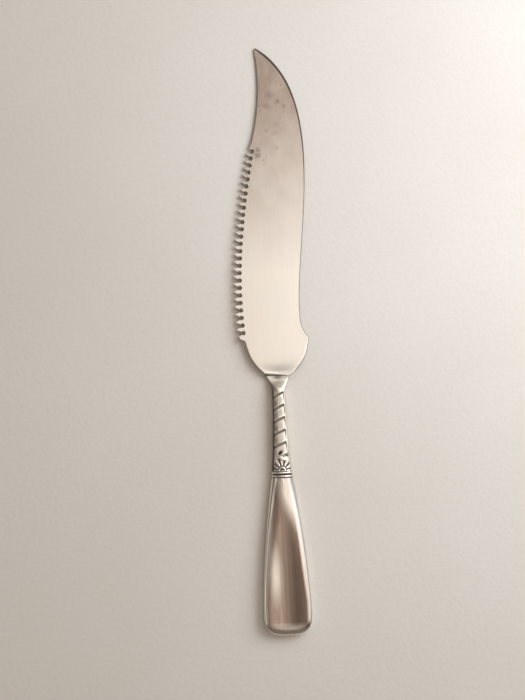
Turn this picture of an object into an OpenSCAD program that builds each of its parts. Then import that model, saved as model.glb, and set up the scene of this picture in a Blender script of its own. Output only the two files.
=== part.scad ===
// Serving fish knife of silver: a toothed blade on a twisted shank, a palmette collar and a hollow handle.
// It lies on the flat back of its handle and on the point of its blade.
// +Y runs to the point, -X to the teeth and +Z up from the table. Lengths are in millimetres.

/* [Blade] */
// Length from the heel seam to the point
blade_length = 145; // [125:1:165]
// Width over the tooth tips and the bow of the spine
blade_width = 33.4; // [28:0.2:38]
// Thickness at the heel seam
heel_thickness = 1.6; // [1.2:0.1:2]
// Thickness at the point
point_thickness = 0.9; // [0.7:0.1:1.2]
// Width of the bevel round the plate
bevel_width = 0.6; // [0.3:0.05:0.8]
// Height of the underside above the table at the heel seam
heel_height = 2.2; // [1.8:0.1:2.6]
// Sag of the heel seam at its middle
seam_sag = 0.4; // [0.1:0.1:0.8]

/* [Teeth] */
// Number of keyhole gullets
gullet_count = 26; // [20:1:28]
// Diameter of the round bottom of a gullet
gullet_diameter = 1.75; // [1.4:0.05:1.9]
// Reach of the teeth beyond the gullet centres
tooth_reach = 2.5; // [2.1:0.05:3]
// Blunt width of a tooth at its tip
tooth_tip = 0.35; // [0.2:0.05:0.7]

/* [Shank] */
// Width of the fan at the heel seam
fan_width = 11.8; // [10:0.2:13]
// Length of the fan from the stem to the heel seam
fan_length = 7.4; // [6:0.2:9]
// Length of the tongue under the blade
tongue_length = 14; // [8:0.5:20]
// Thickness of the tongue at the heel seam
tongue_thickness = 1.3; // [1:0.1:1.5]
// Width of the stem at its waist
stem_width = 5.9; // [5.2:0.1:6.8]
// Thickness of the stem at its waist
stem_thickness = 5; // [4.4:0.1:5.6]
// Length of the twisted stretch
twist_length = 28.7; // [24:0.1:36]
// Length of one turn of the twist
twist_pitch = 5.5; // [4.5:0.1:7]
// Depth of the twist below its crests
twist_depth = 0.7; // [0.3:0.05:0.9]
// Width of the tang
tang_width = 4.4; // [3.6:0.1:5]
// Thickness of the tang
tang_thickness = 3; // [2.4:0.1:3.4]
// Length of the tang from the stem into the handle
tang_length = 45; // [30:1:60]

/* [Collar] */
// Length of the palmette stretch
collar_length = 6.2; // [5:0.1:8]
// Width at the foot of the palmette
collar_width = 8.9; // [8.2:0.1:9.6]
// Thickness at the foot of the palmette
collar_thickness = 6; // [5.6:0.1:6.2]
// Height of the petals above their ground
palmette_relief = 0.5; // [0.3:0.05:0.7]
// Radius of the arch at the root of the petals
arch_radius = 1.35; // [1:0.05:1.6]
// Number of petals in one palmette
petal_count = 7; // [5:2:9]
// Width of a petal near its tip
petal_width = 1.1; // [0.8:0.05:1.3]
// Length of the ring seat between the palmette and the handle
tail_length = 3.1; // [2.6:0.1:4]
// Depth of the ring seat
ring_seat = 0.4; // [0.2:0.05:0.5]
// Width of a wire ring along the knife
ring_width = 1.05; // [0.8:0.05:1.2]
// Height of a wire ring above the line of the neck
ring_proud = 0.15; // [0.1:0.05:0.2]

/* [Handle] */
// Length of the handle
handle_length = 69.6; // [60:0.2:85]
// Width near the butt
handle_width = 21.2; // [18:0.2:25]
// Width at the neck
neck_width = 9.6; // [9:0.1:10.6]
// Thickness at the neck
neck_thickness = 6.3; // [6.1:0.1:6.5]
// Height of the seam between the shells above the table
seam_height = 3.3; // [3.3:0.05:3.8]
// Rise of the front above the seam near the butt
butt_rise = 2.4; // [2.1:0.1:3]
// Length of the rounded corners of the butt
butt_corner = 10; // [7:0.5:14]
// Length over which the front rolls down to the butt
butt_roll = 4.4; // [3.6:0.2:7]
// Depth of the dish in the front
dish_depth = 0.3; // [0:0.05:0.35]
// Crown that is ground off to make the back flat
back_crown = 0.12; // [0.05:0.01:0.2]
// Wall of the shells
shell_wall = 0.7; // [0.5:0.05:0.9]
// Length of the collar's plug in the mouth of the handle
plug_length = 2; // [1:0.1:4]

/* [Fits] */
// Solder or cement gap between seated pieces
seat_gap = 0.03; // [0.02:0.01:0.08]

/* [Hidden] */

// Stations along the knife, from the butt at zero
tail_y = handle_length;
collar_y = tail_y + tail_length;
twist_y = collar_y + collar_length;
fan_y = twist_y + twist_length;
heel_y = fan_y + fan_length;

// The blade is set down so that its point meets the table
blade_set = asin(heel_height / blade_length);
blade_slope = tan(blade_set);
overrun = heel_thickness;

// Curves of the blade as Bezier points, in shares of its width and of its length from the heel seam
spine_shares = [[-0.125, 1], [0.88, 0.852], [0.278, 0.396], [0.323, 0.182]];
notch_shares = [[0.323, 0.182], [0.31, 0.156], [0.356, 0.131], [0.422, 0.111]];
spur_shares = [[0.422, 0.111], [0.4, 0.062], [0.353, 0.029]];
front_shares = [[-0.15, 0.992], [-0.09, 0.898], [-0.119, 0.8], [-0.237, 0.706]];
gullet_shares = [[-0.228, 0.684], [-0.383, 0.509], [-0.518, 0.325], [-0.436, 0.131]];
heel_shares = [[-0.422, 0.107], [-0.371, 0.059], [-0.346, 0.041]];
bevel_share = 0.3;
tooth_lean_share = 0.045;

// Angles at which the flanks of the mouth leave the round bottom, toward the point and toward the handle,
// and the share of its radius where they start inside it
point_flank_angle = 36;
handle_flank_angle = 70;
flank_start_share = 0.9;

// The end teeth are shorter: places beyond the first and the last gullet, in shares of the pitch and the reach
first_tooth_shares = [[-0.42, 0.62]];
last_tooth_shares = [[0.52, 0.82], [0.76, 0.72]];

// Points along each curve of the blade
front_steps = 10;
notch_steps = 7;
heel_steps = 8;
seam_steps = 2;

// Points round a section, and rows along the lofts
around = 24;
twist_around = 20;
fan_rows = 12;
tongue_rows = 8;
handle_rows = 20;
ring_rows = 6;
petal_facets = 12;

// Squareness of the sections: 2 is an ellipse, and more is a rounder rectangle
neck_square = 2.2;
butt_square = 6;
tang_square = 5;

// Shapes of the tapers
plan_power = 1.6;
rise_power = 4;
corner_power = 3;
roll_power = 1.8;
butt_flat_share = 0.15;
back_flat_share = 0.25;
dish_start_share = 0.25;
dish_full_share = 0.8;
dish_top_width_share = 0.4;
dish_width_share = 0.93;
crest_skew = 2.6;
flank_power = 6;
tongue_end_share = 0.25;

// Places on the palmette
foot_share = 0.03;
petal_fan_angle = 184;
petal_tip_share = 0.82;
petal_side_share = 0.85;
petal_root_share = 0.55;
arch_wire_share = 0.28;

function mix(a, b, t) = a + (b - a) * t;
function ease(t) = t * t * (3 - 2 * t);
function unit(v) = v / norm(v);
function bezier(p, t) = pow(1 - t, 3) * p[0] + 3 * t * pow(1 - t, 2) * p[1]
  + 3 * t * t * (1 - t) * p[2] + pow(t, 3) * p[3];

function mean(list) = [for (p = list) 1] * list / len(list);

// Half of a superellipse: the height at a share t of the half width
function swell(t, square) = pow(1 - pow(abs(t), square), 1 / square);

// One closed section across the knife, clockwise seen from the point
function section(y, mid_z, half, up, down, square, count) = [
  for (i = [0 : count - 1])
    let (a = 360 * i / count, t = cos(a), rise = sin(a) < 0 ? -down : up)
      [half * t, y, mid_z + rise * swell(t, square)]
];

// Solid through rings of equal counts, which run clockwise seen from the last ring.
// Its ends are fans about their middle, strips across paired points, or joined into a closed loop.
// With strips, each side splits along its shorter diagonal, so that both halves of a section match.
module loft(rings, ends) {
  n = len(rings[0]);
  last = len(rings) - 1;
  points = concat([for (ring = rings) each ring], [mean(rings[0]), mean(rings[last])]);
  middle = n * (last + 1);
  sides = [
    for (k = [0 : ends == "joined" ? last : last - 1], i = [0 : n - 1])
      let (
        a = k * n,
        b = n * ((k + 1) % (last + 1)),
        j = (i + 1) % n,
        turned = norm(points[a + i] - points[b + j]) < norm(points[a + j] - points[b + i])
      )
        each ends == "strips" && turned
          ? [[a + i, a + j, b + j], [a + i, b + j, b + i]]
          : [[a + i, a + j, b + i], [a + j, b + j, b + i]]
  ];
  fans = [
    for (i = [0 : n - 1])
      let (j = (i + 1) % n, b = n * last)
        each [[middle, j, i], [middle + 1, b + i, b + j]]
  ];
  strips = [
    for (i = [0 : n / 2 - 2])
      let (j = n - 1 - i, b = n * last)
        each [[i, j, j - 1], [i, j - 1, i + 1], [b + i, b + i + 1, b + j - 1], [b + i, b + j - 1, b + j]]
  ];
  faces = ends == "fans" ? concat(sides, fans) : ends == "strips" ? concat(sides, strips) : sides;
  polyhedron(ends == "fans" ? points : [for (ring = rings) each ring], faces);
}

// The blade lies in its own frame: zero at the heel seam, with its underside at zero height
function on_blade(shares) = [shares[0] * blade_width, shares[1] * blade_length];
function blade_thickness(y) = mix(heel_thickness, point_thickness, y / blade_length);
function gullet(t) = on_blade(bezier(gullet_shares, t));
function gullet_along(t) = let (step = 1 / gullet_count) unit(gullet(t + step) - gullet(t - step));
function gullet_outward(t) = let (v = gullet_along(t)) [v[1], -v[0]];
function seam_point(x) = [x, seam_sag * pow(2 * x / fan_width, 2)];

seam_half = fan_width / 2;
seam_end = seam_point(seam_half);
gullet_step = 1 / (gullet_count - 1);
tooth_pitch = norm(gullet(gullet_step) - gullet(0));
function tooth_line(t, reach_share) = gullet(t) + reach_share * tooth_reach * gullet_outward(t);

side_points = front_steps + 2 * gullet_count;
spine_steps = side_points - notch_steps;
spur_curve = concat([for (p = spur_shares) on_blade(p)], [seam_end]);
heel_curve = concat([for (p = heel_shares) on_blade(p)], [[-seam_end[0], seam_end[1]]]);

spine_side = concat(
  [for (i = [0 : spine_steps - 1]) on_blade(bezier(spine_shares, i / spine_steps))],
  [for (i = [0 : notch_steps]) on_blade(bezier(notch_shares, i / notch_steps))],
  [for (i = [1 : heel_steps]) bezier(spur_curve, i / heel_steps)],
  [for (i = [1 : seam_steps]) seam_point(seam_half * (1 - 2 * i / (2 * seam_steps + 1)))]
);
tooth_side = concat(
  [for (i = [0 : front_steps - 1]) on_blade(bezier(front_shares, i / (front_steps - 1)))],
  [for (p = first_tooth_shares) tooth_line(p[0] * gullet_step, p[1])],
  [for (i = [1 : 2 * gullet_count - 2]) tooth_line(i * gullet_step / 2, 1)],
  [for (p = last_tooth_shares) tooth_line(1 + p[0] * gullet_step, p[1])],
  [for (i = [1 : heel_steps]) bezier(heel_curve, (i - 1) / (heel_steps - 1))],
  [for (i = [1 : seam_steps]) seam_point(-seam_half * (1 - 2 * i / (2 * seam_steps + 1)))]
);
blade_outline = concat(spine_side, [for (i = [len(tooth_side) - 1 : -1 : 0]) tooth_side[i]]);
blade_inset = [
  for (i = [0 : len(blade_outline) - 1])
    let (n = len(blade_outline), v = unit(blade_outline[(i + 1) % n] - blade_outline[(i + n - 1) % n]))
      blade_outline[i] + bevel_width * [v[1], -v[0]]
];

function blade_layer(outline, level_share) =
  [for (p = outline) [p[0], p[1], level_share * blade_thickness(p[1])]];

// The origin is below the middle of the knife
mid_x = (min([for (p = blade_outline) p[0]]) + max([for (p = blade_outline) p[0]])) / 2;
mid_y = (heel_y + blade_length * cos(blade_set)) / 2;

module placed() {
  translate([-mid_x, -mid_y, 0])
    children();
}

// A gullet in its own frame: X outward and Y toward the handle
mouth_half = (tooth_pitch - tooth_tip) / 2;
mouth_shift = tooth_lean_share * tooth_pitch;
function flank_start(angle) = flank_start_share * gullet_diameter / 2 * [cos(angle), sin(angle)];
keyhole_mouth = [
  [0, 0],
  flank_start(-point_flank_angle),
  [tooth_reach, -mouth_half - mouth_shift],
  [tooth_reach + overrun, -mouth_half - mouth_shift],
  [tooth_reach + overrun, mouth_half - mouth_shift],
  [tooth_reach, mouth_half - mouth_shift],
  flank_start(handle_flank_angle)
];

module keyhole(t) {
  out = gullet_outward(t);
  translate([each gullet(t), -overrun])
    rotate(atan2(out[1], out[0]))
      linear_extrude(heel_thickness + 2 * overrun) {
        circle(d = gullet_diameter, $fn = 32);
        polygon(keyhole_mouth);
      }
}

module blade() {
  color("Gainsboro")
    placed()
      translate([0, heel_y, heel_height + seat_gap])
        rotate([-blade_set, 0, 0])
          difference() {
            loft([
              blade_layer(blade_inset, 0),
              blade_layer(blade_outline, bevel_share),
              blade_layer(blade_outline, 1 - bevel_share),
              blade_layer(blade_inset, 1)
            ], "strips");
            for (i = [0 : gullet_count - 1])
              keyhole(i * gullet_step);
          }
}

// Line of the neck, from the handle through the collar and the stem to the fan
function neck_flare(y) = pow(max(0, (fan_y - y) / (fan_y - collar_y)), 2);
function fan_flare(y) = pow(max(0, (y - fan_y) / fan_length), 2);
function neck_half(y) = stem_width / 2 + neck_flare(y) * (collar_width - stem_width) / 2
  + fan_flare(y) * (fan_width - stem_width) / 2;
function neck_rise(y) = stem_thickness / 2 + neck_flare(y) * (collar_thickness - stem_thickness) / 2;

// A strand of the twist swells toward the handle and then drops into a crease
function strand(phase) = sin(180 * pow(phase, crest_skew));
function crest(row, i) = let (p = (row - i) / twist_around) strand(p - floor(p));

twist_rows = round(twist_length / twist_pitch * twist_around);

function twist_section(row) =
  let (y = fan_y - twist_length * row / twist_rows, half = neck_half(y), rise = neck_rise(y))
  [
    for (i = [0 : twist_around - 1])
      let (
        a = 360 * i / twist_around,
        t = cos(a),
        carved = twist_depth * (1 - crest(row, i)) * (1 - pow(t, flank_power)),
        height = (rise - carved) * swell(t, neck_square)
      )
        [half * t, y, seam_height + (sin(a) < 0 ? -height : height)]
  ];

function fan_section(t) =
  let (
    y = fan_y + fan_length * t,
    top = mix(seam_height + stem_thickness / 2, heel_height, ease(t)),
    bottom = mix(seam_height - stem_thickness / 2, heel_height - tongue_thickness, ease(t)),
    edge = mix((top + bottom) / 2, top, ease(t))
  )
    section(y, edge, neck_half(y), top - edge, edge - bottom, neck_square, twist_around);

function tongue_section(t) =
  let (
    y = tongue_length * t,
    half = fan_width / 2 * sqrt(1 - t * t * (1 - tongue_end_share * tongue_end_share)),
    thick = tongue_thickness * mix(1, tongue_end_share, t)
  )
    section(heel_y + y, heel_height - y * blade_slope, half, 0, thick, neck_square, twist_around);

function tang_section(y, gap, count) =
  section(y, seam_height, tang_width / 2 + gap, tang_thickness / 2 + gap, tang_thickness / 2 + gap,
          tang_square, count);

module shank() {
  color("Silver")
    placed()
      loft(concat(
        [for (y = [twist_y - tang_length, twist_y]) tang_section(y, 0, twist_around)],
        [for (row = [twist_rows : -1 : 0]) twist_section(row)],
        [for (i = [1 : fan_rows]) fan_section(i / fan_rows)],
        [for (i = [1 : tongue_rows]) tongue_section(i / tongue_rows)]
      ), "fans");
}

// Section on the line of the neck, moved out or in by an offset
function neck_section(y, offset, count) =
  section(y, seam_height, neck_half(y) + offset, neck_rise(y) + offset, neck_rise(y) + offset,
          neck_square, count);

// The ground of the palmette is sunk on the front and the back, and stays full at the flanks
function ground_rise(y) = neck_rise(y) - palmette_relief;
function ground_section(y) =
  section(y, seam_height, neck_half(y), ground_rise(y), ground_rise(y), neck_square, around);
function ground_point(x, y) =
  [x, y, seam_height + ground_rise(y) * swell(x / neck_half(y), neck_square)];

collar_foot = foot_share * collar_length;
collar_top = twist_y - seat_gap;
petal_base_y = collar_y + collar_foot;

module petal(angle) {
  reach = (collar_top - petal_base_y) * petal_tip_share
    * mix(petal_side_share, 1, abs(cos(angle)));
  root = arch_radius * [sin(angle), cos(angle)];
  tip = reach * [sin(angle), cos(angle)];
  hull() {
    translate(ground_point(root[0], petal_base_y + root[1]))
      sphere(d = petal_root_share * petal_width, $fn = petal_facets);
    translate(ground_point(tip[0], petal_base_y + tip[1]))
      sphere(d = petal_width, $fn = petal_facets);
  }
}

module palmette() {
  for (i = [0 : petal_count - 1])
    petal(petal_fan_angle * (i / (petal_count - 1) - 1 / 2));
  translate(ground_point(0, petal_base_y))
    rotate_extrude(angle = 180, $fn = 4 * petal_facets)
      translate([arch_radius, 0])
        circle(r = arch_wire_share * arch_radius, $fn = petal_facets);
}

module palmette_collar() {
  color("LightGray")
    placed() {
      loft([
        handle_section(tail_y, shell_wall + seat_gap, tail_y - plug_length),
        handle_section(tail_y, shell_wall + seat_gap, tail_y),
        neck_section(tail_y, -ring_seat, around),
        neck_section(collar_y, -ring_seat, around),
        neck_section(collar_y, 0, around),
        neck_section(collar_y + collar_foot, 0, around),
        ground_section(collar_y + collar_foot),
        ground_section(mix(collar_y + collar_foot, collar_top, 1 / 2)),
        ground_section(collar_top),
        tang_section(collar_top, seat_gap, around),
        tang_section(tail_y - plug_length, seat_gap, around)
      ], "joined");
      palmette();
      translate([0, 0, 2 * seam_height])
        mirror([0, 0, 1])
          palmette();
    }
}

// Half-round wire bent round the ring seat
module wire_ring(place_share) {
  middle = mix(tail_y, collar_y, place_share);
  bore = seat_gap - ring_seat;
  loft([
    for (i = [0 : ring_rows])
      let (a = 180 * (1 - i / ring_rows))
        neck_section(middle + ring_width / 2 * cos(a), mix(bore, ring_proud, sin(a)), around)
  ], "joined");
}

module upper_ring() {
  color("WhiteSmoke")
    placed()
      wire_ring(3 / 4);
}

module lower_ring() {
  color("WhiteSmoke")
    placed()
      wire_ring(1 / 4);
}

// Shape of the handle, moved in by an inset: zero for its outside, and a wall for its inside
function butt_taper(y, inset, reach, power, flat_share) =
  let (s = max(0, (reach - y) / (reach - inset)))
    pow(1 - (1 - pow(flat_share, power)) * pow(s, power), 1 / power);
function handle_share(y) = min(1, (tail_y - y) / (tail_y - butt_corner));
function handle_half(y, inset) =
  (mix(neck_width, handle_width, 1 - pow(1 - handle_share(y), plan_power)) / 2 - inset)
  * butt_taper(y, inset, butt_corner, corner_power, butt_flat_share);
function handle_up(y, inset) =
  (mix(neck_thickness / 2, butt_rise, 1 - pow(1 - handle_share(y), rise_power)) - inset)
  * butt_taper(y, inset, butt_roll, roll_power, 0);
function handle_down(y, inset) =
  (mix(neck_thickness / 2, seam_height + back_crown, min(1, handle_share(y) / back_flat_share)) - inset)
  * butt_taper(y, inset, butt_roll, roll_power, 0);
function handle_square(y) = mix(neck_square, butt_square, ease(handle_share(y)));
function dish_grow(y) =
  ease(max(0, min(1, (handle_share(y) - dish_start_share) / (dish_full_share - dish_start_share))));
function handle_dish(y, t) =
  let (grow = dish_grow(y), width_share = mix(dish_top_width_share, dish_width_share, grow))
    dish_depth * sqrt(grow) * pow(max(0, 1 - pow(t / width_share, 2)), 2);

function handle_section(y, inset, at_y) =
  section(at_y, seam_height, handle_half(y, inset), handle_up(y, inset), handle_down(y, inset),
          handle_square(y), around);

// Stations crowd toward the butt, where the handle rolls over
function handle_station(k, inset) = mix(tail_y, inset, cos(90 * k / handle_rows));

// A bowed stretch of one side of the handle, from one seam to the other
function shell_arc(k, inset, side) =
  let (y = handle_station(k, inset), half = handle_half(y, inset), square = handle_square(y))
  [
    for (i = [0 : around / 2])
      let (t = side * cos(360 * i / around))
        [
          half * t,
          y,
          side > 0
            ? handle_up(y, inset) * swell(t, square) - (inset > 0 ? 0 : dish_at(y, t))
            : -handle_down(y, inset) * swell(t, square)
        ]
  ];
function dish_at(y, t) = handle_dish(y, t) * butt_taper(y, 0, butt_roll, roll_power, 0);

module half_shell(side) {
  loft([
    for (k = [0 : handle_rows])
      let (inner = shell_arc(k, shell_wall, side))
        concat(shell_arc(k, 0, side), [for (i = [around / 2 : -1 : 0]) inner[i]])
  ], "strips");
}

module handle_front_shell() {
  color("Gainsboro")
    placed()
      translate([0, 0, seam_height + seat_gap])
        half_shell(1);
}

module handle_back_shell() {
  color("Silver")
    placed()
      difference() {
        translate([0, 0, seam_height])
          half_shell(-1);
        translate([-handle_width, -handle_width, -overrun])
          cube([2 * handle_width, handle_length + 2 * handle_width, overrun]);
      }
}

module handle_filling() {
  inset = shell_wall + seat_gap;
  mouth = tail_y - plug_length - seat_gap;
  color("Sienna")
    placed()
      loft(concat(
        [for (k = [1 : handle_rows])
          let (y = min(mouth, handle_station(k, inset))) handle_section(y, inset, y)],
        [for (y = [mouth, twist_y - tang_length - seat_gap]) tang_section(y, seat_gap, around)]
      ), "fans");
}

blade();
shank();
palmette_collar();
upper_ring();
lower_ring();
handle_front_shell();
handle_back_shell();
handle_filling();
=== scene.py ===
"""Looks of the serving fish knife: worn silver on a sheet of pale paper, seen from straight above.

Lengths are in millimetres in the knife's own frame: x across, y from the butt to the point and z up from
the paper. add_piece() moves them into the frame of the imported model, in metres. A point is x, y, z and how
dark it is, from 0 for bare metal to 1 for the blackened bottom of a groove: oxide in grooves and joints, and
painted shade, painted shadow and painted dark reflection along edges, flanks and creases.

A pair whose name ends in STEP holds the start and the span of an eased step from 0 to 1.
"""

import math

import bpy
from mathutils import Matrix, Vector
from mathutils.geometry import delaunay_2d_cdt


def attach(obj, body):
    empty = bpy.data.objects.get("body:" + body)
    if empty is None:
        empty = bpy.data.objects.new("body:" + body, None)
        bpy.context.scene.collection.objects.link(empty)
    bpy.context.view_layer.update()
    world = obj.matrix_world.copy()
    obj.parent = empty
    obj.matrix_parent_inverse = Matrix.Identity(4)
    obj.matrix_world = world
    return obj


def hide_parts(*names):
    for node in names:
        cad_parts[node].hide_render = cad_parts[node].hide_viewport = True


MM = 0.001

# Stations along the knife
HANDLE_LENGTH = 69.6
TAIL_LENGTH = 3.1
COLLAR_LENGTH = 6.2
TWIST_LENGTH = 28.7
FAN_LENGTH = 7.4
TAIL_Y = HANDLE_LENGTH
COLLAR_Y = TAIL_Y + TAIL_LENGTH
TWIST_Y = COLLAR_Y + COLLAR_LENGTH
FAN_Y = TWIST_Y + TWIST_LENGTH
HEEL_Y = FAN_Y + FAN_LENGTH

# Blade
BLADE_LENGTH = 145.0
BLADE_WIDTH = 33.4
HEEL_THICKNESS = 1.6
POINT_THICKNESS = 0.9
HEEL_HEIGHT = 2.2
SEAM_SAG = 0.2
SEAM_TILT = 0.09
SEAM_DROP = 0.55
SEAM_RIGHT = 4.7
GULLET_COUNT = 26
GULLET_DIAMETER = 1.6
TOOTH_REACH = 2.5
TOOTH_TIP = 0.35
TOOTH_LEAN_SHARE = 0.045
POINT_FLANK_ANGLE = math.radians(27)
HANDLE_FLANK_ANGLE = math.radians(50)
FLANK_START_SHARE = 0.9

# Bevels round the blade: their widths, and the heights above the seam where one width gives way to the next
SPINE_BEVEL_WIDTHS = (0.2, 0.95)
SPINE_BEVEL_START = 80
SPINE_BEVEL_SPAN = 57
FRONT_BEVEL_WIDTH = 0.24
HEEL_BEVEL_WIDTH = 0.85
HEEL_BEVEL_STEP = (11, 6)
SEAM_BEVEL_WIDTH = 0.3
SEAM_BEVEL_SPAN = 2
CUT_BEVEL_WIDTH = 0.1
BEVEL_DEPTH_SHARE = 0.8
BEVEL_STEPS = 5
BEVEL_FADE = 3.0
MITRE_LIMIT = 0.35
SUPPORT_WIDTH = 0.15

# Hollow above the heel's rim, which bows up at its ends
HOLLOW_DEPTH = 0.3
HOLLOW_MIDDLE = 1.2
HOLLOW_BOW = 1.6
HOLLOW_BOW_WIDTH = 9
HOLLOW_WIDTH = 7
HOLLOW_ABOVE = 2.6
HOLLOW_BELOW = 0.8
# HOLLOW_SHADE is painted shade over the hollow, set a little above it
HOLLOW_SHADE = 0.26
HOLLOW_SHADE_RISE = 0.9

# Painted shade along the blade's edges: a dark reflection on the bevels, and shadow at the gullets' bottoms
SPINE_PAINTED_SHADE = 0.85
FRONT_PAINTED_SHADE = 0.35
GULLET_PAINTED_SHADOW = 0.95
SHADOWED_BOTTOM_SHARE = 0.55
HEEL_SHADE_WIDTH = 0.15
HEEL_SHADE_STEP = (18, 8)
EDGE_SHADE_FADE = 0.1
EDGE_SHADE_LEAD = 0.9
POINT_SHADE = 1.4

# Curves of the blade as Bezier points, in shares of its width and of its length from the heel seam
SPINE_SHARES = [(-0.125, 1), (0.88, 0.852), (0.278, 0.396), (0.323, 0.182)]
NOTCH_SHARES = [(0.323, 0.182), (0.31, 0.156), (0.356, 0.131), (0.422, 0.111)]
SPUR_SHARES = [(0.422, 0.111), (0.4, 0.062), (0.353, 0.029)]
FRONT_SHARES = [(-0.15, 0.992), (-0.09, 0.898), (-0.119, 0.8), (-0.237, 0.706)]
GULLET_SHARES = [(-0.228, 0.684), (-0.383, 0.509), (-0.518, 0.325), (-0.436, 0.131)]
HEEL_SHARES = [(-0.422, 0.107), (-0.371, 0.059), (-0.346, 0.041)]

# The end teeth are shorter: places beyond the first and the last gullet, in shares of the pitch and of the
# reach, and the reach of the flanks that end there
FIRST_TOOTH_SHARES = [(-0.42, 0.62)]
FIRST_FLANK_SHARE = 0.68
LAST_TOOTH_SHARES = [(0.52, 0.82), (0.76, 0.72)]
LAST_FLANK_SHARE = 0.87

# Stains on the face: shares of the width and length, a radius and a strength
STAIN_SHARES = [
    (0.098, 0.926, 0.6, 0.7),
    (0.196, 0.884, 0.6, 0.7),
    (0.032, 0.853, 2.2, 0.3),
    (0.141, 0.834, 1.1, 0.65),
    (0.224, 0.819, 0.8, 0.6),
    (-0.014, 0.821, 1.7, 0.3),
    (0.103, 0.764, 2.0, 0.25),
    (-0.027, 0.746, 1.2, 0.3),
    (0.085, 0.737, 1.6, 0.25),
    (0.103, 0.692, 1.4, 0.25),
    (-0.152, 0.687, 1.6, 0.7),
    (-0.156, 0.671, 1.8, 0.8),
]
STAIN_LEVEL = 1.5
STAIN_CORE_SHARE = 0.9
STAIN_EDGE_SHARE = 1.9
STAIN_RAGGED_SHARE = 1.6

# Shank
FAN_WIDTH = 11.8
FAN_RIGHT_SHARE = 0.86
FAN_FLAT_SHARE = 0.88
TONGUE_LENGTH = 14.0
TONGUE_THICKNESS = 1.3
TONGUE_END_SHARE = 0.25
STEM_WIDTH = 5.9
STEM_THICKNESS = 5.0
TWIST_PITCH = 5.5
TWIST_DEPTH = 0.7
CREST_SKEW = 2.6
MARGIN_RIGHT = (0.62, 0.72)
MARGIN_LEFT = (0.84, 0.97)
TWIST_SLANT = 0.25
TWIST_SQUARE = 3.0
TWIST_SQUARE_SPAN = 3
TANG_WIDTH = 4.4
TANG_THICKNESS = 3.0
TANG_LENGTH = 45.0

# Worn pocket at the left end of each crease: its phase in the turn, its place across and its sizes
POCKET_PHASE = 0.86
POCKET_SIDE = -0.5
POCKET_SLOPE = 1.5
POCKET_WIDTH = 0.13
POCKET_LENGTH = 0.07
POCKET_DEPTH = 0.22

# Oxide and painted shade on the shank
POCKET_PAINTED_SHADE = 0.6
CREASE_OXIDE_AND_SHADE = 0.78
CREASE_DARK_WIDTHS = (0.12, 0.05)
CREASE_DARK_RIGHT = 0.7
CREASE_LIP = 0.04
CREASE_FIRST_TURN = -0.2
MARGIN_PAINTED_SHADE = 0.75
MARGIN_INSET = 0.04
MARGIN_LINE = 0.06
MARGIN_END = 0.8
MARGIN_FADE = 0.15
STRAND_PAINTED_SHADE = 0.16
STRAND_SHADE_END = 0.5
STRAND_SHADE_FADE = 0.4
FLANK_PAINTED_SHADE = 0.92
FRONT_FLANK_STEP = (0.74, 0.14)
BACK_FLANK_STEP = (0.94, 0.06)
FAN_FLANK_STARTS = (0.72, 0.86)
FAN_FLANK_SPAN = 0.12
FAN_FLANK_FADE = 0.5
HEEL_PAINTED_SHADOW = 0.8
HEEL_SHADOW_STEP = (0.9, 0.08)
HEEL_SHADOW_END_STEP = (0.3, 0.6)
FAN_PAINTED_SHADE = 0.64
FAN_SHADE_STEP = (0.66, 0.16)
FAN_SHADE_SIDE = -0.06
FAN_SHADE_WIDTH = 0.48

# Collar and rings
COLLAR_WIDTH = 8.9
COLLAR_THICKNESS = 6.0
PALMETTE_RELIEF = 0.5
FOOT_LENGTH = 0.19
ARCH_RADIUS = 1.35
ARCH_WIRE = 0.4
PETAL_COUNT = 7
PETAL_WIDTH = 1.7
PETAL_FAN_ANGLE = math.radians(184)
PETAL_GAP = 0.95
PETAL_FOOT_SHARE = 0.5
PETAL_GROOVE = 0.45
PETAL_GROOVE_SHARE = 0.4
PETAL_REACH_SHARE = 0.86
SIDE_PETAL_SHARE = 0.82
BORDER_SHARE = 0.8
BORDER_SPAN = 0.7
FOOT_SPAN = 0.1
COLLAR_SIDE_STEP = (0.86, 0.1)
GROUND_OXIDE = 0.9
GROUND_OXIDE_POWER = 1.8
PIT_DEPTH = 0.2
PIT_FULL = 1.5
RING_SEAT = 0.4
RING_WIDTH = 1.05
RING_PROUD = 0.15
RING_EDGE_OXIDE = 0.8
RING_EDGE_POINTS = 2.5

# Slanting pits where the twist runs out into the collar: x, y, length and width
PITS = [(-0.63, 80.7, 1.2, 0.7), (-1.38, 77.5, 0.7, 0.6)]

# Handle
HANDLE_WIDTH = 21.2
NECK_WIDTH = 9.6
NECK_THICKNESS = 6.3
SEAM_HEIGHT = 3.3
BUTT_RISE = 2.4
BUTT_CORNER = 10.0
BUTT_ROLL = 4.4
BUTT_FLAT_SHARE = 0.15
BACK_FLAT_SHARE = 0.25
BACK_CROWN = 0.12
DISH_DEPTH = 0.3
DISH_START_SHARE = 0.25
DISH_FULL_SHARE = 0.8
DISH_POWER = 0.8
DISH_TOP_WIDTH_SHARE = 0.4
DISH_WIDTH_SHARE = 0.93
SHELL_WALL = 0.7
PLUG_LENGTH = 2.0
PLAN_POWER = 1.6
RISE_POWER = 4.0
CORNER_POWER = 3.0
ROLL_POWER = 1.8
ROLL_CURVE = 0.75
NECK_SQUARE = 2.2
BUTT_SQUARE = 6.0
TANG_SQUARE = 5.0

SEAT_GAP = 0.03

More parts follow.
